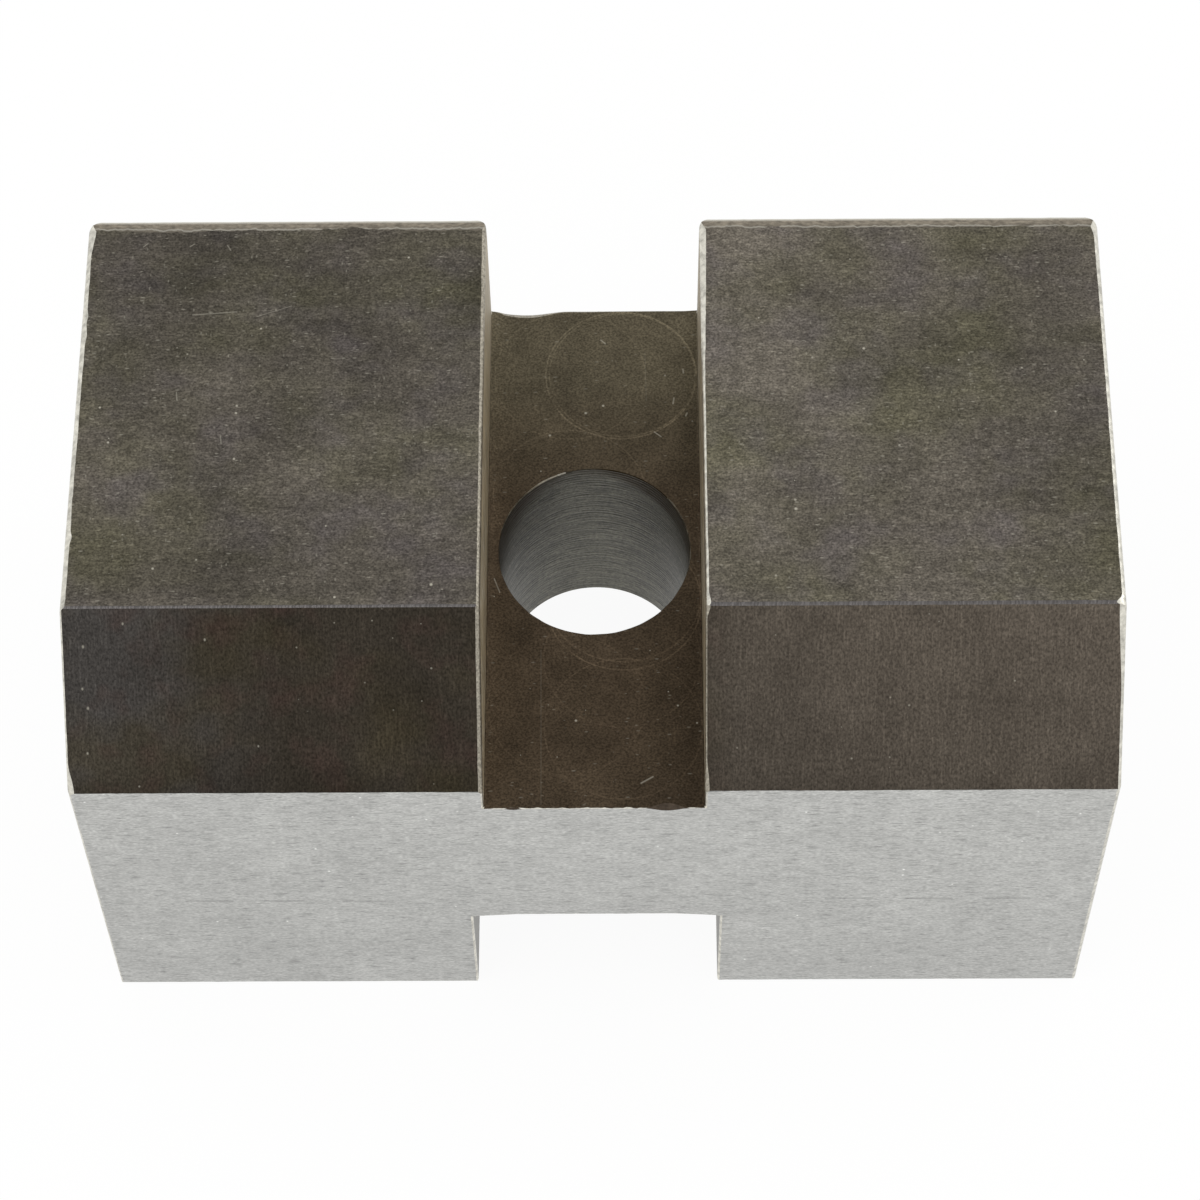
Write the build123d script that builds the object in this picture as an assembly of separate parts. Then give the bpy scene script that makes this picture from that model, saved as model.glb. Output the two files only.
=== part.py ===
from build123d import *
from math import hypot
import os

# Machined mounting block, one solid milled from square steel bar.
# Frame: origin at the middle of the bottom face, on the bore's axis.
# +X along the bar, +Y to the back, +Z up. All sizes in millimetres.

# Square bar, cut to length
block_length = 44.45
block_depth = 25.4
block_height = 25.4

# Slot across the top, front to back
top_slot_width = 9.4
top_slot_depth = 7.3
top_slot_corner_radius = 0.2

# Slot across the bottom, front to back
bottom_slot_width = 11.1
bottom_slot_depth = 7.3
bottom_slot_corner_radius = 0.2

# Bore down through the web between the slots
bore_diameter = 8.45
bore_lower_break = 0.2

# The one large chamfer, 45 degrees, along the front top edge
front_chamfer = 5.8

# Edge breaks, filed by hand and so not all alike
end_break = 0.26
top_slot_break = 0.2
back_top_break_over = 0.45      # flatter than the others: measured over the pads
back_top_break_down = 0.15      # and down the back
ridge_break = 0.07
slope_foot_break = 0.09
bottom_break = 0.2
bottom_slot_break = 0.24

# Knocks on the two open edges of the top slot's floor: width and depth at
# the edge, how far each runs in over the floor, and where it sits along X
back_nick_width = 2.7
back_nick_depth = 0.4
back_nick_run = 0.4
back_nick_x = -2.62
front_nick_width = 2.3
front_nick_depth = 0.14
front_nick_run = 0.31
front_nick_x = 2.85

# Places that follow from the sizes
front_y = -block_depth / 2
back_y = block_depth / 2
slot_floor_z = block_height - top_slot_depth
slot_roof_z = bottom_slot_depth
ridge_y = front_y + front_chamfer
slope_foot_z = block_height - front_chamfer
same_place = 0.001              # two places closer than this are one


def near(a, b):
    """Two places are the same."""
    return abs(a - b) < same_place


def front_elevation():
    """The bar seen from the front, with a slot in its top and one in its bottom."""
    outline = Pos(0, block_height / 2) * Rectangle(block_length, block_height)
    outline -= Pos(0, block_height - top_slot_depth / 2) * Rectangle(top_slot_width, top_slot_depth)
    outline -= Pos(0, bottom_slot_depth / 2) * Rectangle(bottom_slot_width, bottom_slot_depth)
    floor_corners = [v for v in outline.vertices() if near(v.Y, slot_floor_z)]
    outline = fillet(floor_corners, top_slot_corner_radius)
    roof_corners = [v for v in outline.vertices() if near(v.Y, slot_roof_z)]
    return fillet(roof_corners, bottom_slot_corner_radius)


def milled_bar():
    """The slotted bar with the large chamfer milled along its front top edge."""
    bar = extrude(Plane.XZ * front_elevation(), block_depth / 2, both=True)
    overshoot = front_chamfer
    wedge = Polyline(
        (front_y - overshoot, slope_foot_z - overshoot),
        (ridge_y + overshoot, block_height + overshoot),
        (front_y - overshoot, block_height + overshoot),
        close=True,
    )
    return bar - extrude(Plane.YZ * make_face(wedge), block_length, both=True)


def break_edges(block):
    """Files the sharp edges, each kind by its own amount. An edge is known by its middle."""
    wall_foot_z = slot_floor_z + top_slot_corner_radius
    kinds = [
        (end_break, lambda m: near(abs(m.X), block_length / 2)),
        (top_slot_break, lambda m: near(abs(m.X), top_slot_width / 2) and m.Z > wall_foot_z + same_place),
        (ridge_break, lambda m: near(m.Y, ridge_y) and near(m.Z, block_height)),
        (slope_foot_break, lambda m: near(m.Y, front_y) and near(m.Z, slope_foot_z)),
        (bottom_break, lambda m: near(abs(m.Y), block_depth / 2) and near(m.Z, 0)),
        (bottom_slot_break, lambda m: near(abs(m.X), bottom_slot_width / 2) and near(m.Z, 0)),
    ]
    for size, belongs in kinds:
        block = chamfer([e for e in block.edges() if belongs(e @ 0.5)], size)
    middles = [(e, e @ 0.5) for e in block.edges()]
    back_top = [e for e, m in middles if near(m.Y, back_y) and near(m.Z, block_height)]
    back_face = block.faces().sort_by(Axis.Y)[-1]
    return chamfer(back_top, back_top_break_down, back_top_break_over, reference=back_face)


def bore():
    """The drilled hole, with its lower rim broken where it meets the slot's roof."""
    radius = bore_diameter / 2
    drill = Pos(0, 0, block_height / 2) * Cylinder(radius, block_height)
    rim = radius + bore_lower_break
    countersink = Pos(0, 0, slot_roof_z + bore_lower_break / 2) * Cone(rim, radius, bore_lower_break)
    return drill + countersink


def edge_nick(x, edge_y, width, deep, run):
    """A shallow scoop in the slot floor, deepest at its open edge."""
    inward = -1 if edge_y > 0 else 1
    left = (x - width / 2, slot_floor_z)
    right = (x + width / 2, slot_floor_z)
    dip = ThreePointArc(left, (x, slot_floor_z - deep), right)
    segment = make_face([dip, Line(right, left)])
    section = Plane((0, edge_y, 0), x_dir=(1, 0, 0), z_dir=(0, -1, 0)) * segment
    return extrude(section, hypot(run, deep), dir=(0, inward * run, deep))


def mounting_block():
    """The finished block."""
    block = break_edges(milled_bar()) - bore()
    block -= edge_nick(back_nick_x, back_y, back_nick_width, back_nick_depth, back_nick_run)
    block -= edge_nick(front_nick_x, front_y, front_nick_width, front_nick_depth, front_nick_run)
    return block


os.makedirs("parts", exist_ok=True)
export_step(mounting_block(), "parts/mounting_block.step")
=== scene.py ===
from math import cos, pi, radians, sin, sqrt

import bmesh
import bpy
from bpy.props import FloatProperty, FloatVectorProperty, PointerProperty
from bpy.types import Operator, Panel, PropertyGroup
from mathutils import Matrix, Vector, noise

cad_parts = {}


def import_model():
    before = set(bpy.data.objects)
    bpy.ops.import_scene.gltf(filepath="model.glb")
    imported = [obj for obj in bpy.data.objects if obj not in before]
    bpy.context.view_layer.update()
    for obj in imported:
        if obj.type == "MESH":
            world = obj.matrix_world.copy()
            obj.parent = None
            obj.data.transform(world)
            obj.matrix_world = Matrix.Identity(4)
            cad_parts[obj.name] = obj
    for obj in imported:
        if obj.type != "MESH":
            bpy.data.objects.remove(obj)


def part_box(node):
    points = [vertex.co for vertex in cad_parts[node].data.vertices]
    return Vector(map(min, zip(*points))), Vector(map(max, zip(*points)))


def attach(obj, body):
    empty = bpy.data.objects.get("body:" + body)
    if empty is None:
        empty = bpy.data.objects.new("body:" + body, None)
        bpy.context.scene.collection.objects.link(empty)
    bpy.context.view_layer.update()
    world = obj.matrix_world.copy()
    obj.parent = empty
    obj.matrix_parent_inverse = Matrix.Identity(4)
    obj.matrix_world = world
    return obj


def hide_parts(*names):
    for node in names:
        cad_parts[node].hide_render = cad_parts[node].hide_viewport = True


bl_info = {
    "name": "Machined mounting block",
    "version": (1, 0, 0),
    "blender": (4, 5, 0),
    "location": "3D View > Sidebar > Mounting Block",
    "description": "Mills a blackened steel mounting block from square bar and sets it on a pale floor",
    "category": "Add Mesh",
}

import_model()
BODY = "root"
NODE = "mounting_block"
LOWEST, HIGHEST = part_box(NODE)

MM = 0.001                    # everything is shaped in millimetres, then scaled to metres once
HALF_ROOT = sqrt(0.5)
SHARP = radians(35)           # faces that meet at more than this keep a hard edge between them
SAME_POINT = 0.0001           # corners nearer than this, in millimetres, are one

# How each surface was made, and the material that shows it.
# The order is the order of the block's material slots.
MATERIAL_NAMES = {
    "ground_face": "ground_steel_bar_face",              # the bar's own front, back and bottom
    "milled_end": "milled_steel_bar_end",                  # the two ends
    "milled_pad": "blackened_steel_milled_pad",          # the top, each side of the slot
    "milled_slope": "blackened_steel_milled_slope",      # the large chamfer
    "slot_floor": "blackened_steel_slot_floor",
    "slot_wall": "blackened_steel_slot_wall",
    "lower_slot": "blackened_steel_lower_slot",
    "bore_wall": "blackened_steel_drilled_bore",
    "filed_edge": "bare_steel_filed_edge",               # where the blacking is filed through
    "rubbed_edge": "thinly_blackened_steel_rubbed_edge",  # where it is only rubbed thin
    "rolled_edge": "blackened_steel_rolled_edge",        # along the back of the pads
    "worn_ridge": "blackened_steel_worn_ridge",          # between the pads and the chamfer
    "struck_edge": "blackened_steel_struck_edge",        # knocks that are as dark as the slot
}
FINISHES = tuple(MATERIAL_NAMES)
FINISH = {name: index for index, name in enumerate(FINISHES)}


def linear(hex_colour):
    """An sRGB hex colour as the linear values that Blender works in."""
    parts = [int(hex_colour[i:i + 2], 16) / 255 for i in (0, 2, 4)]
    return tuple(p / 12.92 if p <= 0.04045 else ((p + 0.055) / 1.055) ** 2.4 for p in parts)


def length(name, description, millimetres):
    """A size that a user can change."""
    return FloatProperty(name=name, description=description, default=millimetres * MM,
                         min=0, unit="LENGTH", subtype="DISTANCE", precision=5)


def colour(name, description, hex_colour):
    """A colour that a user can change."""
    return FloatVectorProperty(name=name, description=description, default=linear(hex_colour),
                               size=3, min=0, max=1, subtype="COLOR")


class BlockSizes(PropertyGroup):
    """What the miller and the fitter work to."""
    top_slot_width: length("Top slot width", "Wall to wall across the top slot", 9.4)
    top_slot_depth: length("Top slot depth", "From the pads down to the slot's floor", 7.3)
    top_slot_corner: length("Top slot corner", "Radius at the foot of the top slot's walls", 0.05)
    bottom_slot_width: length("Bottom slot width", "Wall to wall across the bottom slot", 11.1)
    bottom_slot_depth: length("Bottom slot depth", "From the bottom up to the slot's roof", 7.3)
    bottom_slot_corner: length("Bottom slot corner", "Radius at the head of the bottom slot's walls", 0.2)
    bore_diameter: length("Bore diameter", "Across the hole between the slots", 8.45)
    bore_feed: length("Bore feed", "Rise of the drill in one turn", 0.2)
    bore_ridge: length("Bore ridge", "Height of the ridge that each turn leaves", 0.008)
    front_chamfer: length("Front chamfer", "Taken off the top and off the front", 5.8)
    end_break: length("End break", "Filed off the edges of the two ends", 0.22)
    slot_break: length("Slot break", "Filed off the top slot's upper edges", 0.18)
    back_break: length("Back break", "Rolled over along the back of the pads", 0.56)
    bottom_break: length("Bottom break", "Filed off the edges of the bottom", 0.2)
    file_step: length("File step", "Distance between the stations of a filed edge", 0.15)


class BlockColours(PropertyGroup):
    """The steel's colours, one set for each way that its surface was made."""
    ground: colour("Ground bar", "The bar's own faces", "b3b3b0")
    end: colour("Milled end", "The two ends", "b0aeaa")
    pad: colour("Milled pad", "The blackened top", "5a554d")
    pad_olive: colour("Pad, olive", "Oily stains on the pads", "58563f")
    pad_plum: colour("Pad, plum", "Bluish stains on the pads", "5a545a")
    slope: colour("Milled slope", "The blackened chamfer", "38332c")
    floor: colour("Slot floor", "The top slot's floor, browned", "453b2f")
    wall: colour("Slot wall", "The top slot's walls", "8c7f67")
    lower: colour("Lower slot", "The slot underneath", "6a6862")
    bore: colour("Bore wall", "Drilled steel, thinly blackened", "646257")
    # painted shade: the dark brown just inside the bore's mouth
    bore_mouth_shade: colour("Bore mouth", "Where the slot's brown film reaches into the bore", "35290f")
    filed: colour("Filed edge", "Bare steel where the blacking is filed off", "d2cfc4")
    rubbed: colour("Rubbed edge", "Steel where the blacking is rubbed thin", "9b9588")
    rolled: colour("Rolled edge", "The rolled back edge of the pads", "857d70")
    ridge: colour("Worn ridge", "The edge between a pad and the chamfer", "5d5a59")
    struck: colour("Struck edge", "Bruised edges of the slot's floor", "4a4138")
    # the glint colour is bare steel in scratches, chips and torn patches, and painted glints in the scattered specks
    glint: colour("Glint", "Bare specks and scratches in the blacking", "c2bdae")
    stage_floor: colour("Floor", "The pale floor", "f4f4f2")


# ---------------------------------------------------------------- shapes

def millimetres(sizes, name):
    """One of the sizes, in millimetres."""
    return getattr(sizes, name) / MM


def loft(name, rings, finish_of, cap_finish):
    """A closed solid through rings of points; finish_of gives the finish of the face at a station and side."""
    shape = bmesh.new()
    rows = [[shape.verts.new(point) for point in ring] for ring in rings]
    sides = len(rings[0])
    for station, (row, next_row) in enumerate(zip(rows, rows[1:])):
        for side in range(sides):
            after = (side + 1) % sides
            face = shape.faces.new((row[side], row[after], next_row[after], next_row[side]))
            face.material_index = finish_of(station, side)
    for cap in (rows[0][::-1], rows[-1]):
        shape.faces.new(cap).material_index = cap_finish
    if shape.calc_volume(signed=True) < 0:
        bmesh.ops.reverse_faces(shape, faces=shape.faces[:])
    mesh = bpy.data.meshes.new(name)
    shape.to_mesh(mesh)
    shape.free()
    for finish in FINISHES:
        mesh.materials.append(bpy.data.materials[MATERIAL_NAMES[finish]])
    made = bpy.data.objects.new(name, mesh)
    bpy.context.scene.collection.objects.link(made)
    return made


def places(sizes):
    """Where the block's faces and slots lie, in millimetres."""
    low, high = LOWEST / MM, HIGHEST / MM
    chamfer = millimetres(sizes, "front_chamfer")
    return {
        "end": high.x,
        "front": low.y,
        "back": high.y,
        "top": high.z,
        "ridge": low.y + chamfer,
        "foot": high.z - chamfer,
        "slot": millimetres(sizes, "top_slot_width") / 2,
        "floor": high.z - millimetres(sizes, "top_slot_depth"),
        "lower_slot": millimetres(sizes, "bottom_slot_width") / 2,
        "roof": millimetres(sizes, "bottom_slot_depth"),
    }


def square_bar(at):
    """The bar as it is sawn off, before any milling."""
    top, front, back = at["top"], at["front"], at["back"]
    section = [(front, 0), (front, top), (back, top), (back, 0)]
    faces = [FINISH["ground_face"], FINISH["milled_pad"], FINISH["ground_face"], FINISH["ground_face"]]
    rings = [[(x, y, z) for y, z in section] for x in (-at["end"], at["end"])]
    return loft("mounting_block_steel", rings, lambda station, side: faces[side], FINISH["milled_end"])


def slot_cutter(name, at, half_width, inner_z, outer_z, radius, wall_finish, inner_finish):
    """What the end mill takes out along a slot: outer_z is outside the bar, inner_z is the slot's floor or roof."""
    steps = 5
    turn = 1 if outer_z > inner_z else -1
    section, finishes = [(-half_width, outer_z)], [wall_finish]     # finish of the face that leaves each corner
    for side in (-1, 1):
        for step in range(steps + 1):
            angle = pi / 2 * (step / steps if side < 0 else 1 - step / steps)
            section.append((side * (half_width - radius + radius * cos(angle)),
                            inner_z + turn * (radius - radius * sin(angle))))
            finishes.append(inner_finish)
        if side > 0:
            finishes[-1] = wall_finish
    section.append((half_width, outer_z))
    finishes.append(wall_finish)
    rings = [[(x, y, z) for x, z in section] for y in (at["front"] - 1, at["back"] + 1)]
    return loft(name, rings, lambda station, side: finishes[side], wall_finish)


def chamfer_cutter(at):
    """What the shell mill takes off along the front top edge."""
    past = 2
    section = [
        (at["front"] - past, at["foot"] - past),
        (at["ridge"] + past, at["top"] + past),
        (at["front"] - past, at["top"] + past),
    ]
    rings = [[(x, y, z) for y, z in section] for x in (-at["end"] - 1, at["end"] + 1)]
    return loft("slope_cutter", rings, lambda station, side: FINISH["milled_slope"], FINISH["milled_slope"])


def bore_cutter(at, sizes):
    """The drill's path: a helix of low ridges, a thin uneven break at the floor and a larger one at the roof."""
    radius = millimetres(sizes, "bore_diameter") / 2
    feed, ridge = millimetres(sizes, "bore_feed"), millimetres(sizes, "bore_ridge")
    around, step, past, roof_break = 144, 0.05, 0.6, 0.12
    low, high = at["roof"] - past, at["floor"] + past
    stations = int((high - low) / step)
    rings = []

    def bare(side):
        """Whether the rim is bare here: two arcs of it are."""
        degrees = 360 * side / around
        return 105 < degrees < 166 or degrees < 40 or degrees > 340

    for station in range(stations + 1):
        z = low + (high - low) * station / stations
        ring = []
        for side in range(around):
            angle = 2 * pi * side / around
            wave = 0.5 + 0.5 * cos(2 * pi * (z / feed) - angle)
            uneven = noise.noise(Vector((3 * cos(angle), 3 * sin(angle), z * 0.8)))
            rim = 0.04 + 0.05 * noise.noise(Vector((7 * cos(angle), 7 * sin(angle), 7)))
            if not bare(side):
                rim *= 0.4
            r = radius - ridge * wave + 0.006 * uneven
            r += max(0, at["roof"] + roof_break - z) + max(0, z - (at["floor"] - rim)) * 0.9
            ring.append((r * cos(angle), r * sin(angle), z))
        rings.append(ring)

    def finish_of(station, side):
        z = low + (high - low) * (station + 0.5) / stations
        broken = z < at["roof"] + roof_break or (z > at["floor"] - 0.04 and bare(side))
        return FINISH["filed_edge" if broken else "bore_wall"]

    return loft("bore_cutter", rings, finish_of, FINISH["bore_wall"])


def bump_at(where, reach, extra):
    """One place where the file, a knock or a burr takes more: distance along the edge, half length, and how much."""
    return lambda s: extra * max(0, 1 - ((s - where) / reach) ** 2) ** 2


def fading(run, over):
    """1 along an edge of length run, fading to 0 at both its ends."""
    return lambda s: max(0, min(1, s / over, (run - s) / over))


def steady_hand(width, seed, swing=0.2, spots=(), starve=None):
    """How wide a hand-filed break is at each place along its edge."""
    def at(s):
        drift = noise.noise(Vector((s / 4, seed, 0))) * 0.6 + noise.noise(Vector((s / 0.9, seed, 5))) * 0.4
        drift += noise.noise(Vector((s / 0.3, seed, 9))) * 0.3
        w = width * (1 + swing * drift) + sum(spot(s) for spot in spots)
        if starve:
            w *= starve(s)
        return max(w, 0.004)
    return at


def file_cutter(name, start, end, over, down, over_width, down_width, step, finish="filed_edge",
                roundness=0.3, past=0.4, past_end=None):
    """What a file takes off one edge: over and down point from the edge into its two faces."""
    start, end, over, down = (Vector(v) for v in (start, end, over, down))
    run = (end - start).length
    along = (end - start) / run
    past_end = past if past_end is None else past_end
    count = max(2, int(run / step))
    inner = [run * i / count for i in range(count + 1)]
    stations = [-past] + [s for s in inner if -past < s < run + past_end] + [run + past_end]
    facets = 4
    reach, rise = 1.8, 0.8        # how far the cutter runs on past the break, as parts of its width
    rings = []
    for s in stations:
        inside = min(max(s, 0), run)
        a, b = over_width(inside), down_width(inside)
        centre = start + along * s
        outline = [(a * reach, -b * rise)]
        for i in range(facets + 1):
            t = i / facets
            sink = roundness * 2 * t * (1 - t)
            outline.append((a * (1 - t) - sink * a, b * t - sink * b))
        outline += [(-a * rise, b * reach), (-2 * max(a, b), -2 * max(a, b))]
        rings.append([centre + over * u + down * v for u, v in outline])
    return loft(name, rings, lambda station, side: FINISH[finish], FINISH[finish])


def filed_edges(at, sizes):
    """The cutters for every broken, filed, bruised or rolled edge of the block."""
    end, front, back, top = at["end"], at["front"], at["back"], at["top"]
    ridge, foot, slot, floor = at["ridge"], at["foot"], at["slot"], at["floor"]
    low_slot, roof = at["lower_slot"], at["roof"]
    step = millimetres(sizes, "file_step")
    end_w, slot_w = millimetres(sizes, "end_break"), millimetres(sizes, "slot_break")
    back_w, bottom_w = millimetres(sizes, "back_break"), millimetres(sizes, "bottom_break")
    made = []

    def file(name, a, b, over, down, over_width, down_width, **more):
        made.append(file_cutter(name, a, b, over, down, over_width, down_width, step, **more))

    for side, tag in ((-1, "left"), (1, "right")):
        left = side < 0
        into = (-side, 0, 0)
        x, s = side * end, side * slot
        # edges of the ends
        spots = [bump_at(3.4, 0.35, 0.08), bump_at(13.6, 0.5, 0.05), bump_at(14.6, 0.4, 0.05),
                 bump_at(19.8, 2.2, 0.18)] if left else [bump_at(-0.3, 0.7, 0.5), bump_at(19.8, 1.4, 0.25)]
        file(f"end_pad_{tag}", (x, ridge, top), (x, back, top), into, (0, 0, -1),
             steady_hand(end_w if left else end_w * 0.85, 1 + side, spots=spots), steady_hand(end_w, 2 + side))
        spots = [bump_at(0, 1.4, 0.2)] if left else [bump_at(8.2, 4, 0.16)]
        file(f"end_slope_{tag}", (x, front, foot), (x, ridge, top), into, (0, HALF_ROOT, -HALF_ROOT),
             steady_hand(0.08 if left else 0.14, 3 + side, spots=spots), steady_hand(0.1 if left else 0.16, 4 + side))
        file(f"end_front_{tag}", (x, front, 0), (x, front, foot), into, (0, 1, 0),
             steady_hand(0.12 if left else 0.19, 5 + side), steady_hand(end_w, 6 + side))
        file(f"end_bottom_{tag}", (x, front, 0), (x, back, 0), into, (0, 0, 1),
             steady_hand(bottom_w, 7 + side), steady_hand(bottom_w, 8 + side))
        file(f"end_back_{tag}", (x, back, 0), (x, back, top), into, (0, -1, 0),
             steady_hand(end_w, 9 + side, spots=[bump_at(25.4, 1.0, 0.3)]),
             steady_hand(end_w, 10 + side, spots=[bump_at(25.4, 1.0, 0.3)]))
        # upper edges of the top slot
        out = (side, 0, 0)
        file(f"slot_pad_{tag}", (s, ridge, top), (s, back, top), out, (0, 0, -1),
             steady_hand(slot_w * (0.9 if left else 0.8), 11 + side, swing=0.3,
                         spots=[] if left else [bump_at(19.6, 9, 0.14), bump_at(0, 0.7, 0.1)]),
             steady_hand(slot_w, 12 + side), finish="rubbed_edge" if left else "filed_edge")
        if left:
            file("slot_slope_left", (s, front, foot), (s, ridge, top), out, (0, HALF_ROOT, -HALF_ROOT),
                 steady_hand(0.19, 14, swing=0.15), steady_hand(0.17, 15), finish="rubbed_edge")
        else:
            file("slot_slope_right", (s, front, foot), (s, ridge, top), out, (0, HALF_ROOT, -HALF_ROOT),
                 steady_hand(0.07, 16, spots=[bump_at(0, 1.6, 0.1), bump_at(8.2, 0.6, 0.14)]),
                 steady_hand(0.08, 17, spots=[bump_at(8.2, 0.6, 0.1)]), finish="rubbed_edge")
        file(f"slot_front_{tag}", (s, front, floor), (s, front, foot), out, (0, 1, 0),
             steady_hand(0.1, 18 + side), steady_hand(0.1, 19 + side), past=-0.02)
        file(f"slot_back_{tag}", (s, back, floor), (s, back, top), out, (0, -1, 0),
             steady_hand(0.15, 20 + side, spots=[bump_at(7.3, 1.2, 0.2)]),
             steady_hand(0.18, 21 + side, spots=[bump_at(7.3, 1.2, 0.2)]), past=-0.02)
        # ridge and foot of the slope, back of the pad
        file(f"ridge_{tag}", (s, ridge, top), (x, ridge, top), (0, 1, 0), (0, -HALF_ROOT, -HALF_ROOT),
             steady_hand(0.08 if left else 0.13, 22 + side, swing=0.4), steady_hand(0.05, 23 + side, swing=0.4),
             finish="worn_ridge")
        file(f"foot_{tag}", (s, front, foot), (x, front, foot), (0, HALF_ROOT, HALF_ROOT), (0, 0, -1),
             steady_hand(0.05, 24 + side, swing=0.5), steady_hand(0.06, 25 + side, swing=0.5), finish="ground_face")
        file(f"back_top_{tag}", (s, back, top), (x, back, top), (0, -1, 0), (0, 0, -1),
             steady_hand(back_w, 26 + side, swing=0.45), steady_hand(0.13, 27 + side, swing=0.3), roundness=0.15,
             finish="rolled_edge")
        # the bottom
        b = side * low_slot
        for y, inward, face in ((front, (0, 1, 0), "front"), (back, (0, -1, 0), "back")):
            file(f"bottom_{face}_{tag}", (b, y, 0), (x, y, 0), (0, 0, 1), inward,
                 steady_hand(bottom_w, 30 + side), steady_hand(bottom_w, 31 + side))
            file(f"lower_slot_{face}_{tag}", (b, y, 0), (b, y, roof), out, inward,
                 steady_hand(0.1, 32 + side), steady_hand(0.12, 33 + side), past_end=-0.02)
        file(f"lower_slot_bottom_{tag}", (b, front, 0), (b, back, 0), out, (0, 0, 1),
             steady_hand(0.24, 34 + side), steady_hand(0.24, 35 + side))

    # open edges of the slot's floor and of the lower slot's roof
    taper = fading(2 * slot, 0.6)
    file("floor_back", (-slot, back, floor), (slot, back, floor), (0, -1, 0), (0, 0, -1),
         steady_hand(0.05, 40, swing=0.4, starve=taper, spots=[bump_at(1.6, 1.9, 0.32), bump_at(4.4, 1.5, 0.03)]),
         steady_hand(0.07, 41, starve=taper, spots=[bump_at(1.6, 1.9, 0.36)]),
         finish="rubbed_edge", past=-0.01, past_end=-0.01)

    def burrs(s):
        return taper(s) * max(0.1, 0.6 + 1.6 * noise.noise(Vector((s / 0.35, 2, 2))))

    file("floor_front", (-slot, front, floor), (slot, front, floor), (0, 1, 0), (0, 0, -1),
         steady_hand(0.045, 42, swing=0.5, starve=burrs), steady_hand(0.03, 43, swing=0.5, starve=burrs),
         finish="filed_edge", past=-0.01, past_end=-0.01)
    for name, left_x, right_x, seed, middle, reach, over_extra, down_extra in (
        ("floor_flake", 2.1, 3.95, 46, 1.0, 0.95, 0.24, 0.22),
        ("floor_chip", -3.9, -3.0, 48, 0.45, 0.45, 0.06, 0.1),
    ):
        file(name, (left_x, front, floor), (right_x, front, floor), (0, 1, 0), (0, 0, -1),
             steady_hand(0.005, seed, swing=0.5, spots=[bump_at(middle, reach, over_extra)]),
             steady_hand(0.005, seed + 1, swing=0.5, spots=[bump_at(middle, reach, down_extra)]),
             finish="struck_edge", roundness=0.1)
    roof_taper = fading(2 * low_slot, 2)
    for y, inward, face in ((front, (0, 1, 0), "front"), (back, (0, -1, 0), "back")):
        file(f"roof_{face}", (-low_slot, y, roof), (low_slot, y, roof), (0, 0, 1), inward,
             steady_hand(0.24, 44, starve=roof_taper), steady_hand(0.2, 45, starve=roof_taper),
             past=-0.01, past_end=-0.01)
    return made


def cut_away(bar, cutters):
    """Takes the cutters out of the bar one after another and keeps the result as the bar's mesh."""
    for cutter in cutters:
        cut = bar.modifiers.new(cutter.name, "BOOLEAN")
        cut.operation = "DIFFERENCE"
        cut.solver = "MANIFOLD"
        cut.object = cutter
    bpy.context.view_layer.update()
    graph = bpy.context.evaluated_depsgraph_get()
    result = bpy.data.meshes.new_from_object(bar.evaluated_get(graph))
    bar.modifiers.clear()
    blank, bar.data = bar.data, result
    bpy.data.meshes.remove(blank)
    for cutter in cutters:
        mesh = cutter.data
        bpy.data.objects.remove(cutter)
        bpy.data.meshes.remove(mesh)


def clean_and_shade(block):
    """Makes the mesh sound, keeps flat faces flat and rounds only what was filed or filleted."""
    shape = bmesh.new()
    shape.from_mesh(block.data)
    bmesh.ops.dissolve_degenerate(shape, edges=shape.edges[:], dist=SAME_POINT)
    open_edges = sum(1 for e in shape.edges if len(e.link_faces) != 2)
    if open_edges:
        raise RuntimeError(f"the block's mesh isn't closed: {open_edges} edges don't join two faces")
    for face in shape.faces:
        face.smooth = True
    for edge in shape.edges:
        faces = edge.link_faces
        same = faces[0].material_index == faces[1].material_index
        edge.smooth = same and edge.calc_face_angle(pi) < SHARP
    shape.to_mesh(block.data)
    shape.free()
    block.data.transform(Matrix.Scale(MM, 4))
    block.data.update()


# ---------------------------------------------------------------- materials

def add(tree, kind, sockets=None, **settings):
    """Adds one node to a tree, with its settings and with what goes into its sockets."""
    made = tree.nodes.new(kind)
    for name, value in settings.items():
        setattr(made, name, value)
    for name, value in (sockets or {}).items():
        if isinstance(value, bpy.types.NodeSocket):
            tree.links.new(value, made.inputs[name])
        else:
            made.inputs[name].default_value = value
    return made


def new_material(finish):
    """The empty material of one finish: its node tree, and the place on the block in millimetres."""
    material = bpy.data.materials.new(MATERIAL_NAMES[finish])
    material.use_nodes = True
    tree = material.node_tree
    tree.nodes.clear()
    spot = add(tree, "ShaderNodeTexCoord").outputs["Object"]
    place = add(tree, "ShaderNodeVectorMath", {0: spot, "Scale": 1 / MM}, operation="SCALE").outputs[0]
    return tree, place


def clouds(tree, place, size, low=0.3, high=0.7, detail=2.0, seed=0.0):
    """Soft patches from 0 to 1. size is a patch's length along X, Y and Z in millimetres."""
    shift = (seed, seed * 1.7, seed * 2.3)
    shrink = add(tree, "ShaderNodeVectorMath", {0: place, 1: [1 / s for s in size], 2: shift},
                 operation="MULTIPLY_ADD").outputs[0]
    field = add(tree, "ShaderNodeTexNoise", {"Vector": shrink, "Scale": 1.0, "Detail": detail, "Roughness": 0.6})
    return add(tree, "ShaderNodeMapRange", {"Value": field.outputs["Fac"], "From Min": low, "From Max": high}
               ).outputs["Result"]


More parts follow.
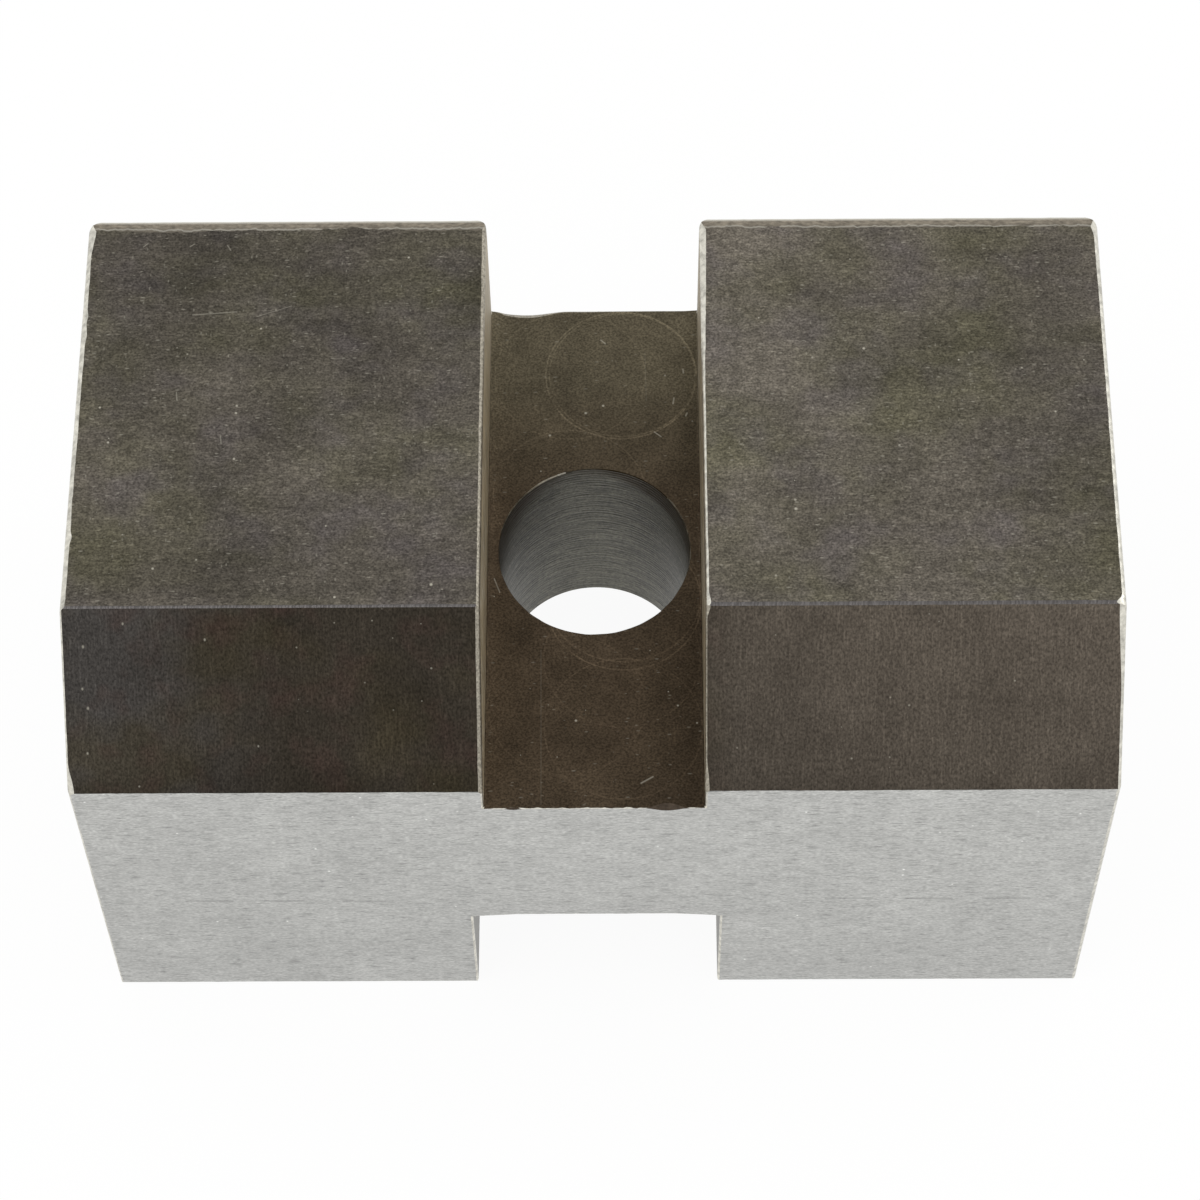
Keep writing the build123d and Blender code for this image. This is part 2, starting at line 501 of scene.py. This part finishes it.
def specks(tree, place, size, share, spacing, seed=0.0):
    """Scattered specks, 1 on a speck and 0 elsewhere. spacing is a speck's cell along X, Y and Z in millimetres,
    size the largest speck's radius as a part of its cell, and share how many cells have one."""
    shrink = add(tree, "ShaderNodeVectorMath", {0: place, 1: [1 / s for s in spacing], 2: (seed, seed, seed)},
                 operation="MULTIPLY_ADD").outputs[0]
    cells = add(tree, "ShaderNodeTexVoronoi", {"Vector": shrink, "Scale": 1.0})
    draw = add(tree, "ShaderNodeSeparateColor", {0: cells.outputs["Color"]})
    reach = add(tree, "ShaderNodeMapRange", {"Value": draw.outputs[1], "To Min": size * 0.35, "To Max": size}
                ).outputs["Result"]
    near = add(tree, "ShaderNodeMath", {0: cells.outputs["Distance"], 1: reach}, operation="DIVIDE").outputs[0]
    bright = add(tree, "ShaderNodeMapRange", {"Value": near, "From Min": 1.0, "From Max": 0.4}).outputs["Result"]
    chosen = add(tree, "ShaderNodeMath", {0: draw.outputs[0], 1: share}, operation="LESS_THAN").outputs[0]
    return add(tree, "ShaderNodeMath", {0: bright, 1: chosen}, operation="MULTIPLY", use_clamp=True).outputs[0]


def between(tree, value, start, end):
    """0 at start, 1 at end, and a ramp between."""
    return add(tree, "ShaderNodeMapRange", {"Value": value, "From Min": start, "From Max": end}).outputs["Result"]


def times(tree, a, b):
    """Two fields multiplied, kept between 0 and 1."""
    return add(tree, "ShaderNodeMath", {0: a, 1: b}, operation="MULTIPLY", use_clamp=True).outputs[0]


def either(tree, fields):
    """The strongest of several fields."""
    strongest = fields[0]
    for field in fields[1:]:
        strongest = add(tree, "ShaderNodeMath", {0: strongest, 1: field}, operation="MAXIMUM").outputs[0]
    return strongest


def scratches(tree, place, lines):
    """Straight scratches: each is its start, its end and its half width, in millimetres."""
    fields = []
    for start, end, half_width in lines:
        start, end = Vector(start), Vector(end)
        run = end - start
        away = add(tree, "ShaderNodeVectorMath", {0: place, 1: start}, operation="SUBTRACT").outputs[0]
        along = add(tree, "ShaderNodeVectorMath", {0: away, 1: run / run.length_squared}, operation="DOT_PRODUCT"
                    ).outputs["Value"]
        along = between(tree, along, 0.0, 1.0)
        foot = add(tree, "ShaderNodeVectorMath", {0: run, "Scale": along}, operation="SCALE").outputs[0]
        gap = add(tree, "ShaderNodeVectorMath", {0: away, 1: foot}, operation="DISTANCE").outputs["Value"]
        fields.append(between(tree, gap, half_width, half_width * 0.3))
    return either(tree, fields)


def cutter_circles(tree, place, circles, half_width):
    """Thin circles that an end mill leaves where it dwells: each is its centre, radius and strength."""
    flat = add(tree, "ShaderNodeVectorMath", {0: place, 1: (1, 1, 0)}, operation="MULTIPLY").outputs[0]
    fields = []
    for x, y, radius, strength in circles:
        out = add(tree, "ShaderNodeVectorMath", {0: flat, 1: (x, y, 0)}, operation="DISTANCE").outputs["Value"]
        gap = add(tree, "ShaderNodeMath", {0: out, 1: radius}, operation="SUBTRACT").outputs[0]
        gap = add(tree, "ShaderNodeMath", {0: gap}, operation="ABSOLUTE").outputs[0]
        fields.append(times(tree, between(tree, gap, half_width, half_width * 0.2), strength))
    return either(tree, fields)


def spot_mark(tree, place, centre, radius):
    """One small chip, seen from above: its centre and radius in millimetres."""
    flat = add(tree, "ShaderNodeVectorMath", {0: place, 1: (1, 1, 0)}, operation="MULTIPLY").outputs[0]
    gap = add(tree, "ShaderNodeVectorMath", {0: flat, 1: (*centre, 0)}, operation="DISTANCE").outputs["Value"]
    return between(tree, gap, radius, radius * 0.3)


def tinted(tree, base, tint, amount):
    """base moved towards tint by amount."""
    return add(tree, "ShaderNodeMix", {0: amount, 6: base, 7: opaque(tint)}, data_type="RGBA").outputs[2]


def shaded(tree, base, field, darkest, lightest):
    """base made darker or lighter by a field from 0 to 1."""
    level = add(tree, "ShaderNodeMapRange", {"Value": field, "To Min": darkest, "To Max": lightest}).outputs["Result"]
    return add(tree, "ShaderNodeVectorMath", {0: base, "Scale": level}, operation="SCALE").outputs[0]


def finish_steel(tree, colour_field, height, depth, roughness, bare=1.0):
    """The steel's shader: depth is the relief in millimetres that a height of 1 stands for, and bare is how far
    the steel shows through its oxide film, which is less under a thick brown one."""
    normal = add(tree, "ShaderNodeBump", {"Height": height, "Distance": depth * MM, "Strength": 1.0}).outputs[0]
    steel = add(tree, "ShaderNodeBsdfPrincipled",
                {"Base Color": colour_field, "Metallic": bare, "Roughness": roughness, "Normal": normal})
    add(tree, "ShaderNodeOutputMaterial", {"Surface": steel.outputs[0]})


def opaque(rgb):
    """A colour with full alpha."""
    return (*rgb, 1.0)


def solid_colour(tree, rgb):
    """A colour as a socket, so that patterns can work on it."""
    return add(tree, "ShaderNodeCombineColor", {0: rgb[0], 1: rgb[1], 2: rgb[2]}).outputs[0]


def milled_pad_steel(colours):
    """Carbon steel, fly-cut and blackened: dark, dull and warm, with soft stains and short bright hairs along X."""
    tree, place = new_material("milled_pad")
    x, y, _ = add(tree, "ShaderNodeSeparateXYZ", {0: place}).outputs
    base = solid_colour(tree, colours.pad)
    olive = clouds(tree, place, (6, 4, 5), 0.42, 0.68, seed=9.0)
    base = tinted(tree, base, colours.pad_olive, times(tree, olive, 0.45))
    plum = clouds(tree, place, (3, 2.5, 3), 0.48, 0.7, seed=21.0)
    base = tinted(tree, base, colours.pad_plum, times(tree, plum, 0.3))
    base = shaded(tree, base, clouds(tree, place, (4, 3, 4), seed=3.1), 0.78, 1.22)
    # the left pad darkens to the back, and the right pad is paler by the slot
    left = between(tree, x, -4.0, -5.0)
    base = shaded(tree, base, times(tree, left, between(tree, y, 4.0, 10.0)), 1.0, 0.8)
    base = shaded(tree, base, times(tree, between(tree, x, 4.0, 5.0), between(tree, x, 17.0, 7.0)), 1.0, 1.25)
    base = shaded(tree, base, times(tree, between(tree, x, 12.0, 7.0), between(tree, y, -1.0, -5.0)), 1.0, 0.88)
    # blacking rubbed thin towards the ridge
    thin = times(tree, between(tree, y, -6.2, -6.7), clouds(tree, place, (1.5, 9, 9), 0.3, 0.5))
    base = shaded(tree, base, thin, 1.0, 1.22)
    # real grain is about 0.03 mm; it is drawn at 0.09 mm so that it shows
    grain = clouds(tree, place, (0.1, 0.09, 0.1), detail=1.0, seed=1.0)
    base = shaded(tree, base, grain, 0.62, 1.38)
    base = shaded(tree, base, clouds(tree, place, (0.5, 0.35, 0.5), detail=1.0, seed=8.0), 0.86, 1.14)
    hairs = clouds(tree, place, (0.3, 0.08, 0.1), 0.52, 0.72, seed=14.0)
    base = shaded(tree, base, hairs, 0.95, 1.5)
    base = shaded(tree, base, clouds(tree, place, (3.5, 0.16, 1), seed=18.0), 0.93, 1.07)
    # bare flecks and painted glints: few round ones, and many thin ones that lie both ways
    flecks = either(tree, [
        times(tree, specks(tree, place, 0.2, 0.08, (0.45, 0.45, 0.45), seed=2.0), 0.7),
        times(tree, specks(tree, place, 0.26, 0.3, (0.2, 0.4, 0.5), seed=5.0), 0.22),
        times(tree, specks(tree, place, 0.3, 0.4, (0.45, 0.16, 0.5), seed=15.0), 0.28),
    ])
    base = tinted(tree, base, colours.glint, flecks)
    z = HIGHEST.z / MM
    marks = scratches(tree, place, [
        ((-19.75, 11.3, z), (-19.55, 11.5, z), 0.035), ((-17.7, 11.3, z), (-17.5, 11.45, z), 0.035),
        ((-16.05, 11.35, z), (-15.9, 11.1, z), 0.04), ((-17.4, 7.7, z), (-15.5, 7.85, z), 0.04),
        ((-14.6, 7.6, z), (-13.1, 8.15, z), 0.02), ((-15.9, 1.5, z), (-15.85, 1.1, z), 0.04),
        ((-17.9, 3.7, z), (-17.85, 3.3, z), 0.04),
    ])
    base = tinted(tree, base, colours.glint, times(tree, marks, 0.28))
    finish_steel(tree, base, grain, 0.004, 0.42)


def milled_slope_steel(colours):
    """The same blackened steel, cut down the slope: near black on the left, with a painted reflection that makes the
    right lighter and warmer.
    """
    tree, place = new_material("milled_slope")
    x, _, z = add(tree, "ShaderNodeSeparateXYZ", {0: place}).outputs
    base = solid_colour(tree, colours.slope)
    base = tinted(tree, base, linear("45423f"), between(tree, x, -13.0, -20.0))
    olive = clouds(tree, place, (5, 4, 4), 0.45, 0.65, seed=31.0)
    base = tinted(tree, base, linear("3d3729"), times(tree, olive, 0.6))
    russet = clouds(tree, place, (2, 2, 2), 0.5, 0.72, seed=33.0)
    base = tinted(tree, base, linear("433530"), times(tree, russet, 0.6))
    # painted reflection: the right slope is made lighter and warmer, lighter still towards its right end and towards
    # its top
    right = between(tree, x, 2.0, 6.0)
    base = tinted(tree, base, linear("39342e"), right)
    base = shaded(tree, base, right, 1.0, 1.85)
    base = shaded(tree, base, between(tree, x, 7.0, 21.0), 1.0, 1.28)
    base = shaded(tree, base, times(tree, right, between(tree, z, 20.5, 24.5)), 0.93, 1.1)
    base = shaded(tree, base, between(tree, z, 19.6, 20.5), 0.82, 1.0)
    base = shaded(tree, base, clouds(tree, place, (3, 3, 3), seed=5.0), 0.86, 1.14)
    grain = clouds(tree, place, (0.09, 0.13, 0.13), detail=1.0, seed=4.0)
    base = shaded(tree, base, grain, 0.66, 1.34)
    down_cut = clouds(tree, place, (0.08, 0.9, 0.9), 0.5, 0.7, seed=36.0)
    base = shaded(tree, base, down_cut, 1.0, 1.35)
    # bare specks and painted glints
    bright = specks(tree, place, 0.16, 0.12, (0.4, 0.4, 0.4), seed=6.0)
    base = tinted(tree, base, colours.glint, times(tree, bright, 0.35))
    chips = either(tree, [spot_mark(tree, place, *chip) for chip in (
        ((-19.6, -7.4), 0.06), ((-16.2, -7.9), 0.06), ((-21.3, -8.1), 0.07), ((-21.4, -9.4), 0.06),
        ((-21.2, -10.0), 0.07), ((-21.3, -11.4), 0.06), ((-14.1, -11.2), 0.05),
    )])
    base = tinted(tree, base, colours.glint, times(tree, chips, 0.45))
    finish_steel(tree, base, grain, 0.004, 0.42)


def slot_floor_steel(colours):
    """End-milled steel under a browned oil film: dark brown, with the cutter's circles across it."""
    tree, place = new_material("slot_floor")
    x, y, _ = add(tree, "ShaderNodeSeparateXYZ", {0: place}).outputs
    base = solid_colour(tree, colours.floor)
    base = tinted(tree, base, linear("4b4538"), between(tree, y, 2.0, 9.0))
    base = shaded(tree, base, between(tree, y, 3.0, 11.0), 1.0, 1.3)
    base = shaded(tree, base, times(tree, between(tree, y, 0.0, -4.0), between(tree, x, 0.0, 3.0)), 1.0, 0.85)
    base = shaded(tree, base, clouds(tree, place, (1.6, 1.8, 3), seed=8.0), 0.82, 1.18)
    # real grain is about 0.03 mm; it is drawn at 0.09 mm so that it shows
    grain = clouds(tree, place, (0.1, 0.09, 0.1), detail=1.0, seed=4.0)
    base = shaded(tree, base, grain, 0.62, 1.38)
    circles = cutter_circles(tree, place, [
        (1.21, 9.2, 3.4, 1.0), (1.27, 9.22, 3.3, 0.6), (-1.1, 9.2, 3.4, 0.4), (1.28, -2.6, 3.4, 0.9),
        (1.28, -2.2, 3.4, 0.7), (-1.2, -7.7, 3.4, 0.35), (1.25, -8.85, 3.4, 0.5), (1.2, -5.4, 3.4, 0.4),
        (-1.1, 2.85, 3.4, 0.5),
    ], 0.05)
    broken = clouds(tree, place, (1.8, 1.8, 9), 0.25, 0.5, seed=12.0)
    base = shaded(tree, base, times(tree, circles, broken), 1.0, 1.75)
    base = shaded(tree, base, between(tree, x, -3.4, -4.5), 1.0, 1.35)
    # bare flecks and painted glints
    flecks = either(tree, [
        times(tree, specks(tree, place, 0.2, 0.07, (0.4, 0.4, 0.4), seed=6.0), 0.5),
        times(tree, specks(tree, place, 0.3, 0.25, (0.45, 0.16, 0.5), seed=16.0), 0.16),
    ])
    base = tinted(tree, base, colours.glint, flecks)
    z = places(bpy.context.scene.block_sizes)["floor"]
    faint = scratches(tree, place, [
        ((-2.32, -5.0, z), (-2.27, -12.5, z), 0.03), ((2.3, 10.4, z), (2.35, 7.8, z), 0.03),
    ])
    marks = scratches(tree, place, [
        ((2.0, -11.5, z), (2.5, -11.2, z), 0.05), ((-4.4, -1.4, z), (-4.15, -2.1, z), 0.04),
        ((0.3, 11.1, z), (0.5, 10.9, z), 0.05), ((2.7, 6.15, z), (3.0, 5.9, z), 0.04),
        ((4.02, 9.5, z), (4.04, 9.3, z), 0.05), ((3.6, 7.95, z), (3.55, 7.65, z), 0.05),
        ((4.18, 7.15, z), (4.12, 7.0, z), 0.05),
    ])
    base = tinted(tree, base, colours.glint, either(tree, [times(tree, faint, 0.06), times(tree, marks, 0.3)]))
    finish_steel(tree, base, grain, 0.003, 0.4)


def slot_wall_steel(colours):
    """The side of the end mill's cut: upright lines from its teeth, torn to bare steel in places."""
    tree, place = new_material("slot_wall")
    x, y, _ = add(tree, "ShaderNodeSeparateXYZ", {0: place}).outputs
    base = solid_colour(tree, colours.wall)
    base = shaded(tree, base, between(tree, x, 1.0, -1.0), 1.0, 1.4)      # painted light: the left wall is made lighter than the right
    base = shaded(tree, base, clouds(tree, place, (3, 1.6, 2.2), seed=14.0), 0.8, 1.2)
    teeth = clouds(tree, place, (1, 0.12, 3.0), seed=4.0)
    base = shaded(tree, base, teeth, 0.68, 1.32)
    torn = clouds(tree, place, (1, 0.1, 1.4), 0.57, 0.67, detail=1.0, seed=24.0)
    base = tinted(tree, base, colours.glint, times(tree, torn, 0.7))
    base = tinted(tree, base, colours.glint, times(tree, between(tree, y, 6.0, 12.5), 0.3))
    finish_steel(tree, base, teeth, 0.01, 0.6, bare=0.5)


def lower_slot_steel(colours):
    """The hidden slot's milled faces: blackened, thinner than the pads."""
    tree, place = new_material("lower_slot")
    base = solid_colour(tree, colours.lower)
    base = shaded(tree, base, clouds(tree, place, (4, 4, 4), 0.35, 0.65, seed=5.0), 0.88, 1.12)
    grain = clouds(tree, place, (0.3, 0.1, 0.3), 0.25, 0.75, detail=3.0, seed=4.0)
    base = shaded(tree, base, grain, 0.7, 1.3)
    finish_steel(tree, base, grain, 0.004, 0.42)


def bore_wall_steel(colours):
    """Drilled steel: rings from the drill's feed, with painted shade in dark brown just inside its mouth."""
    tree, place = new_material("bore_wall")
    at = places(bpy.context.scene.block_sizes)
    x, y, z = add(tree, "ShaderNodeSeparateXYZ", {0: place}).outputs
    base = solid_colour(tree, colours.bore)
    rings = clouds(tree, place, (1.4, 1.4, 0.11), seed=2.0)
    base = shaded(tree, base, rings, 0.6, 1.4)
    wavy = clouds(tree, place, (1.2, 1.2, 0.2), 0.52, 0.62, detail=3.0, seed=19.0)
    base = shaded(tree, base, wavy, 1.0, 0.75)
    grain = clouds(tree, place, (0.14, 0.14, 0.1), seed=4.0)
    base = shaded(tree, base, grain, 0.55, 1.45)
    # painted shade: dark brown reaches down from the slot's floor into the bore: hardly at all behind, a little on
    # the right, deep on the left
    right = between(tree, x, -1.0, 2.2)
    slant = add(tree, "ShaderNodeMapRange", {"Value": right, "To Min": 3.6, "To Max": 1.3}).outputs["Result"]
    deep = add(tree, "ShaderNodeMath", {0: between(tree, y, 4.3, 0.0), 1: slant}, operation="MULTIPLY").outputs[0]
    deep = add(tree, "ShaderNodeMath", {0: right, 1: 0.8, 2: deep}, operation="MULTIPLY_ADD").outputs[0]
    down = add(tree, "ShaderNodeMath", {0: at["floor"], 1: z}, operation="SUBTRACT").outputs[0]
    gap = add(tree, "ShaderNodeMath", {0: down, 1: deep}, operation="SUBTRACT").outputs[0]
    blur = add(tree, "ShaderNodeMapRange", {"Value": right, "To Min": 0.7, "To Max": 0.15}).outputs["Result"]
    gap = add(tree, "ShaderNodeMath", {0: gap, 1: blur}, operation="DIVIDE").outputs[0]
    base = tinted(tree, base, colours.bore_mouth_shade, between(tree, gap, 1.0, -1.0))
    finish_steel(tree, base, rings, 0.01, 0.38, bare=0.6)


def ground_face_steel(colours):
    """The bar's own ground face: pale grey, brushed along X in short dashes."""
    tree, place = new_material("ground_face")
    z = add(tree, "ShaderNodeSeparateXYZ", {0: place}).outputs[2]
    base = solid_colour(tree, colours.ground)
    # painted light: the face grows lighter towards its top
    base = shaded(tree, base, between(tree, z, 0.0, 19.6), 1.0, 1.12)
    base = shaded(tree, base, clouds(tree, place, (3, 3, 3), seed=5.0), 0.95, 1.05)
    # brush lines are about 0.02 mm apart; they are drawn at 0.06 mm so that they show
    brushed = clouds(tree, place, (0.2, 0.055, 0.06), seed=4.0)
    base = shaded(tree, base, brushed, 0.74, 1.26)
    dashes = clouds(tree, place, (0.9, 0.055, 0.06), 0.34, 0.46, seed=17.0)
    base = shaded(tree, base, dashes, 0.6, 1.03)
    base = shaded(tree, base, clouds(tree, place, (0.8, 0.6, 0.5), seed=27.0), 0.93, 1.07)
    y = LOWEST.y / MM
    marks = scratches(tree, place, [
        ((-18.3, y, 9.03), (-16.2, y, 9.01), 0.04), ((-14.8, y, 9.0), (-12.9, y, 8.98), 0.04),
        ((-11.3, y, 8.96), (-9.4, y, 8.94), 0.04), ((10.2, y, 9.06), (12.3, y, 9.04), 0.04),
        ((13.75, y, 9.02), (15.85, y, 9.0), 0.04), ((17.2, y, 8.99), (19.3, y, 8.97), 0.04),
    ])
    base = shaded(tree, base, marks, 1.0, 0.35)
    # painted glints: scattered bright specks
    bright = specks(tree, place, 0.18, 0.05, (0.45, 0.45, 0.45), seed=6.0)
    base = tinted(tree, base, linear("f4f4f0"), bright)
    finish_steel(tree, base, brushed, 0.003, 0.38)


def milled_end_steel(colours):
    """The end of the bar, milled square: pale grey with fine lines along Y."""
    tree, place = new_material("milled_end")
    base = solid_colour(tree, colours.end)
    base = shaded(tree, base, clouds(tree, place, (5, 5, 5), seed=5.0), 0.92, 1.08)
    # the cutter's lines are about 0.03 mm apart; they are drawn at 0.06 mm so that they show
    grain = clouds(tree, place, (0.06, 0.45, 0.06), seed=4.0)
    base = shaded(tree, base, grain, 0.8, 1.2)
    finish_steel(tree, base, grain, 0.004, 0.38)


def mottled_steel(finish, tone, patch, darkest, lightest, depth, roughness):
    """A narrow edge's steel: one colour, mottled dark and light in patches of one size in millimetres."""
    tree, place = new_material(finish)
    patches = clouds(tree, place, (patch, patch, patch), detail=3.0, seed=4.0)
    base = shaded(tree, solid_colour(tree, tone), patches, darkest, lightest)
    finish_steel(tree, base, patches, depth, roughness)


def filed_edge_steel(colours):
    """Bare steel left by a fine file: near white, with darker nicks where the blacking remains."""
    mottled_steel("filed_edge", colours.filed, 0.3, 0.65, 1.25, 0.006, 0.35)


def rubbed_edge_steel(colours):
    """Edge where the blacking is rubbed thin: tan grey, speckled dark and bright."""
    mottled_steel("rubbed_edge", colours.rubbed, 0.12, 0.55, 1.45, 0.008, 0.4)


def rolled_edge_steel(colours):
    """The back edge, rolled over by the cutter: mottled brown grey, with a painted highlight in broken pale lines
    along it.
    """
    tree, place = new_material("rolled_edge")
    base = solid_colour(tree, colours.rolled)
    y = add(tree, "ShaderNodeSeparateXYZ", {0: place}).outputs[1]
    patches = clouds(tree, place, (0.3, 0.14, 0.14), detail=3.0, seed=4.0)
    base = shaded(tree, base, patches, 0.6, 1.4)
    back = HIGHEST.y / MM
    base = tinted(tree, base, colours.pad, times(tree, between(tree, y, back - 0.3, back - 0.6), 0.75))
    # painted highlights: a pale line wanders along the pad's side of the roll, and the back of the roll is painted
    # near white
    stray = clouds(tree, place, (0.5, 9, 9), seed=6.0)
    line = add(tree, "ShaderNodeMath", {0: stray, 1: 0.16, 2: y}, operation="MULTIPLY_ADD").outputs[0]
    line = times(tree, between(tree, line, back - 0.48, back - 0.42), between(tree, line, back - 0.34, back - 0.4))
    base = tinted(tree, base, colours.filed, times(tree, line, 0.35))
    base = tinted(tree, base, colours.filed, between(tree, y, back - 0.16, back - 0.02))
    finish_steel(tree, base, patches, 0.01, 0.42)


def worn_ridge_steel(colours):
    """The ridge over the chamfer, worn by handling: short chatter ticks across it."""
    tree, place = new_material("worn_ridge")
    base = solid_colour(tree, colours.ridge)
    ticks = clouds(tree, place, (0.1, 0.5, 0.5), 0.4, 0.65, seed=7.0)
    base = shaded(tree, base, ticks, 0.8, 1.35)
    finish_steel(tree, base, ticks, 0.01, 0.42)


def struck_edge_steel(colours):
    """Steel bruised by a knock: dark, rough and torn."""
    mottled_steel("struck_edge", colours.struck, 0.15, 0.75, 1.25, 0.01, 0.5)


STEELS = (milled_pad_steel, milled_slope_steel, slot_floor_steel, slot_wall_steel, lower_slot_steel,
          bore_wall_steel, ground_face_steel, milled_end_steel, filed_edge_steel, rubbed_edge_steel,
          rolled_edge_steel, worn_ridge_steel, struck_edge_steel)


def seen_plainly(tree):
    """1 for the lens, a reflection or a look through something clear, and 0 for the light on the block."""
    path = add(tree, "ShaderNodeLightPath").outputs
    return either(tree, [path[f"Is {ray} Ray"] for ray in ("Camera", "Glossy", "Transmission")])


def floor_paint(colours):
    """Matt white paint on a smooth board, nearly plain white to the lens and in the steel."""
    material = bpy.data.materials.new("matt_white_paint")
    material.use_nodes = True
    tree = material.node_tree
    tree.nodes.clear()
    paint = add(tree, "ShaderNodeBsdfDiffuse", {"Color": opaque(colours.stage_floor)})
    glow = add(tree, "ShaderNodeEmission", {"Color": (1, 1, 1, 1), "Strength": 1.0})
    share = add(tree, "ShaderNodeMath", {0: seen_plainly(tree), 1: 0.94}, operation="MULTIPLY").outputs[0]
    mixed = add(tree, "ShaderNodeMixShader", {0: share, 1: paint.outputs[0], 2: glow.outputs[0]})
    add(tree, "ShaderNodeOutputMaterial", {"Surface": mixed.outputs[0]})
    return material


# ---------------------------------------------------------------- operators

class MOUNTINGBLOCK_OT_block(Operator):
    """Saws the bar, mills its slots and chamfer, drills it and files its edges"""
    bl_idname = "mounting_block.block"
    bl_label = "Mill the block"

    def execute(self, context):
        sizes, colours = context.scene.block_sizes, context.scene.block_colours
        for steel in STEELS:
            steel(colours)
        at = places(sizes)
        block = square_bar(at)
        cutters = [
            slot_cutter("top_slot_cutter", at, at["slot"], at["floor"], at["top"] + 1,
                        millimetres(sizes, "top_slot_corner"), FINISH["slot_wall"], FINISH["slot_floor"]),
            slot_cutter("lower_slot_cutter", at, at["lower_slot"], at["roof"], -1,
                        millimetres(sizes, "bottom_slot_corner"), FINISH["lower_slot"], FINISH["lower_slot"]),
            chamfer_cutter(at),
            bore_cutter(at, sizes),
        ]
        cut_away(block, cutters + filed_edges(at, sizes))
        clean_and_shade(block)
        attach(block, BODY)
        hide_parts(NODE)
        return {"FINISHED"}


class MOUNTINGBLOCK_OT_stage(Operator):
    """Lays the floor, hangs the lamps and places the camera"""
    bl_idname = "mounting_block.stage"
    bl_label = "Set the stage"

    def execute(self, context):
        colours = context.scene.block_colours
        lay_floor(colours)
        hang_lamps()
        light_world()
        place_camera(context.scene)
        return {"FINISHED"}


def lay_floor(colours):
    """A wide pale floor just under the block."""
    reach, drop = 3.0, 0.00002
    shape = bmesh.new()
    corners = [shape.verts.new((x, y, -drop)) for x, y in
               ((-reach, -reach), (reach, -reach), (reach, reach), (-reach, reach))]
    shape.faces.new(corners)
    mesh = bpy.data.meshes.new("floor")
    shape.to_mesh(mesh)
    shape.free()
    mesh.materials.append(floor_paint(colours))
    floor = bpy.data.objects.new("floor", mesh)
    bpy.context.scene.collection.objects.link(floor)


def hang_lamps():
    """Two large soft lamps, one over the left shoulder and one low on the right."""
    for name, place, size, power in (
        ("soft_box_left", (-0.5, -0.25, 0.8), 0.6, 2.0),
        ("soft_box_right", (0.7, 0.1, 0.45), 0.5, 1.2),
    ):
        lamp = bpy.data.lights.new(name, "AREA")
        lamp.shape = "SQUARE"
        lamp.size = size
        lamp.energy = power
        holder = bpy.data.objects.new(name, lamp)
        holder.location = place
        holder.rotation_euler = (-Vector(place)).to_track_quat("-Z", "Y").to_euler()
        bpy.context.scene.collection.objects.link(holder)


def light_world():
    """An even pale room: plain white where the lens or the steel sees it."""
    world = bpy.data.worlds.new("pale_room")
    bpy.context.scene.world = world
    world.use_nodes = True
    tree = world.node_tree
    tree.nodes.clear()
    strength = add(tree, "ShaderNodeMapRange", {"Value": seen_plainly(tree), "To Min": 0.9, "To Max": 1.0}
                   ).outputs["Result"]
    sky = add(tree, "ShaderNodeBackground", {"Color": (1, 1, 1, 1), "Strength": strength})
    add(tree, "ShaderNodeOutputWorld", {"Surface": sky.outputs[0]})


def place_camera(scene):
    """The camera looks down on the block from in front, close enough for strong perspective."""
    azimuth, elevation, roll = radians(0.761), radians(60.446), radians(-0.936)
    distance, focal_length = 0.17616, 115.61
    aim_height, aim_right, aim_up = 0.0111125, 0.000196, 0.001262
    back = Vector((sin(azimuth) * cos(elevation), -cos(azimuth) * cos(elevation), sin(elevation)))
    level = (-back).cross(Vector((0, 0, 1))).normalized()
    upright = level.cross(-back)
    right = level * cos(roll) + upright * sin(roll)
    up = upright * cos(roll) - level * sin(roll)
    aim = Vector((0, 0, aim_height)) + right * aim_right + up * aim_up
    lens = bpy.data.cameras.new("camera")
    lens.sensor_width = 36
    lens.lens = focal_length
    lens.clip_start = 0.01
    camera = bpy.data.objects.new("camera", lens)
    turn = Matrix((right, up, back)).transposed().to_4x4()
    camera.matrix_world = Matrix.Translation(aim + back * distance) @ turn
    scene.collection.objects.link(camera)
    scene.camera = camera
    scene.view_settings.view_transform = "Standard"


class MOUNTINGBLOCK_PT_panel(Panel):
    """Everything that makes the block"""
    bl_label = "Mounting Block"
    bl_idname = "MOUNTINGBLOCK_PT_panel"
    bl_space_type = "VIEW_3D"
    bl_region_type = "UI"
    bl_category = "Mounting Block"

    def draw(self, context):
        for operator in OPERATORS:
            self.layout.operator(operator.bl_idname)
        for group in (context.scene.block_sizes, context.scene.block_colours):
            column = self.layout.column(align=True)
            for name in group.__annotations__:
                column.prop(group, name)


OPERATORS = (MOUNTINGBLOCK_OT_block, MOUNTINGBLOCK_OT_stage)
CLASSES = (BlockSizes, BlockColours, *OPERATORS, MOUNTINGBLOCK_PT_panel)


def register():
    for made in CLASSES:
        bpy.utils.register_class(made)
    bpy.types.Scene.block_sizes = PointerProperty(type=BlockSizes)
    bpy.types.Scene.block_colours = PointerProperty(type=BlockColours)


def unregister():
    del bpy.types.Scene.block_colours
    del bpy.types.Scene.block_sizes
    for made in reversed(CLASSES):
        bpy.utils.unregister_class(made)


def main():
    register()
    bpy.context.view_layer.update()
    for operator in OPERATORS:
        group, name = operator.bl_idname.split(".")
        getattr(getattr(bpy.ops, group), name)()


if __name__ == "__main__":
    main()
